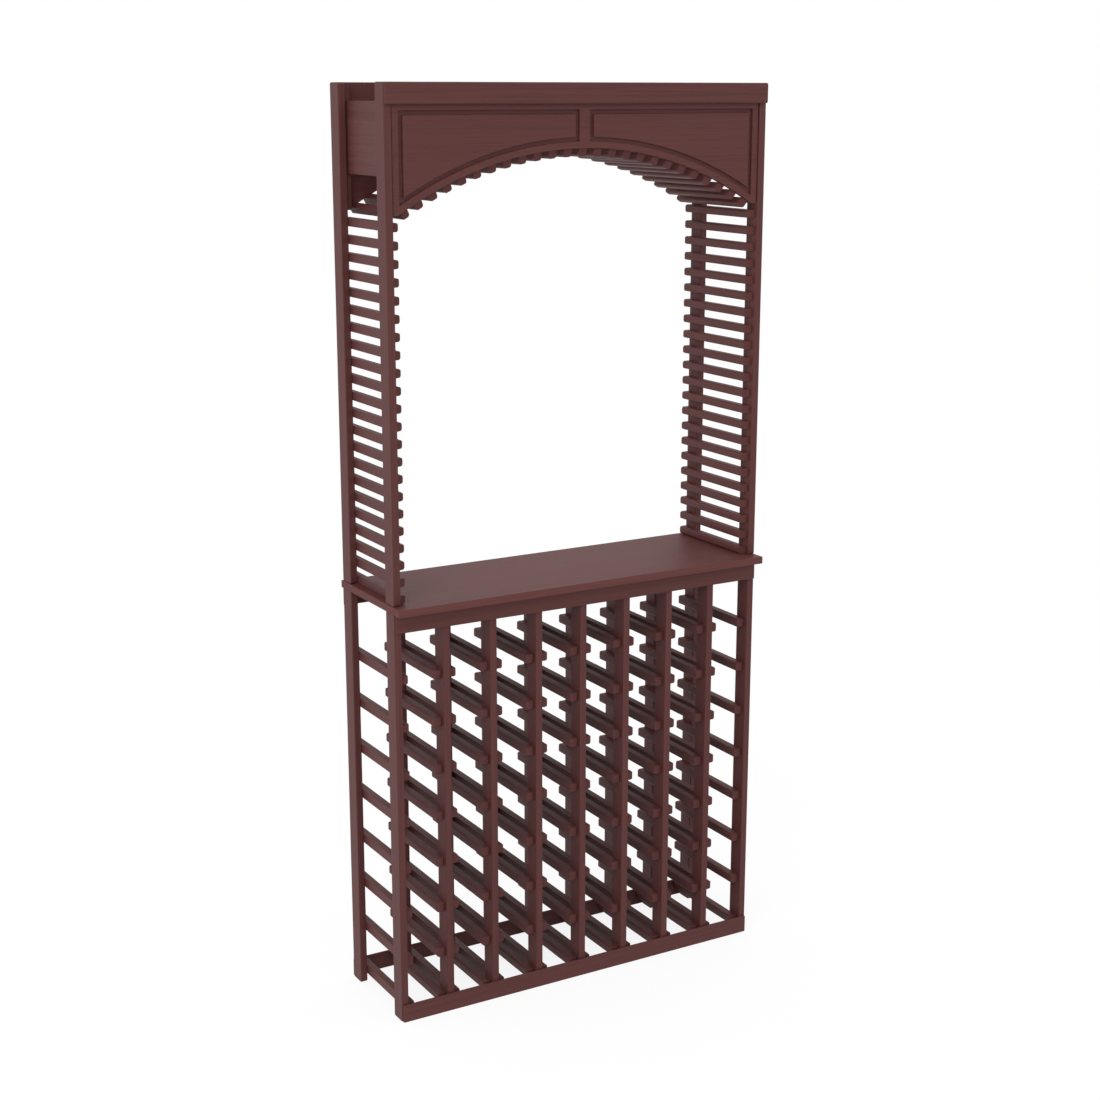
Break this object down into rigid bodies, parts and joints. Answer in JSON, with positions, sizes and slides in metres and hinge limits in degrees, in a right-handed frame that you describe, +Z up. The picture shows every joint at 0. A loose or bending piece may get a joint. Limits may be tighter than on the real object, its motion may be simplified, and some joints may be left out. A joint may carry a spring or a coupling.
{
  "type": "tasting table",
  "caption": "Free-standing wooden tasting table: bottle rack of ladders and rails under a narrow counter, and an open niche with slatted sides and an arched canopy above it.",
  "frame": {"origin": "on the floor, under the middle of the counter", "axes": "+X to the right along the front, +Y from the front to the back, +Z up"},
  "size_m": [0.9, 0.286, 1.948],
  "materials": {
    "rack_wood": "burgundy stain under a satin clear coat",
    "counter_wood": "burgundy stain under a satin clear coat",
    "post_and_slat_wood": "burgundy stain under a satin clear coat",
    "canopy_wood": "burgundy stain under a satin clear coat",
    "dowel_wood": "bare hardwood"
  },
  "bodies": {
    "root": {"arch_slats": "post_and_slat_wood", "back_base_rail": "rack_wood", "back_top_rail": "rack_wood", "back_upright_1": "rack_wood", "back_upright_2": "rack_wood", "back_upright_3": "rack_wood", "back_upright_4": "rack_wood", "back_upright_5": "rack_wood", "back_upright_6": "rack_wood", "back_upright_7": "rack_wood", "back_upright_8": "rack_wood", "back_upright_9": "rack_wood", "back_valance": "canopy_wood", "column_1_left_rails": "rack_wood", "column_1_right_rails": "rack_wood", "column_2_left_rails": "rack_wood", "column_2_right_rails": "rack_wood", "column_3_left_rails": "rack_wood", "column_3_right_rails": "rack_wood", "column_4_left_rails": "rack_wood", "column_4_right_rails": "rack_wood", "column_5_left_rails": "rack_wood", "column_5_right_rails": "rack_wood", "column_6_left_rails": "rack_wood", "column_6_right_rails": "rack_wood", "column_7_left_rails": "rack_wood", "column_7_right_rails": "rack_wood", "column_8_left_rails": "rack_wood", "column_8_right_rails": "rack_wood", "front_base_rail": "rack_wood", "front_fascia": "canopy_wood", "front_top_rail": "rack_wood", "front_upright_1": "rack_wood", "front_upright_2": "rack_wood", "front_upright_3": "rack_wood", "front_upright_4": "rack_wood", "front_upright_5": "rack_wood", "front_upright_6": "rack_wood", "front_upright_7": "rack_wood", "front_upright_8": "rack_wood", "front_upright_9": "rack_wood", "front_valance": "canopy_wood", "left_back_cleat": "canopy_wood", "left_back_post": "post_and_slat_wood", "left_front_cleat": "canopy_wood", "left_front_post": "post_and_slat_wood", "left_side_panel": "canopy_wood", "left_side_slats": "post_and_slat_wood", "post_dowels": "dowel_wood", "right_back_cleat": "canopy_wood", "right_back_post": "post_and_slat_wood", "right_front_cleat": "canopy_wood", "right_front_post": "post_and_slat_wood", "right_side_panel": "canopy_wood", "right_side_slats": "post_and_slat_wood", "table_top": "counter_wood"}
  },
  "joints": []
}
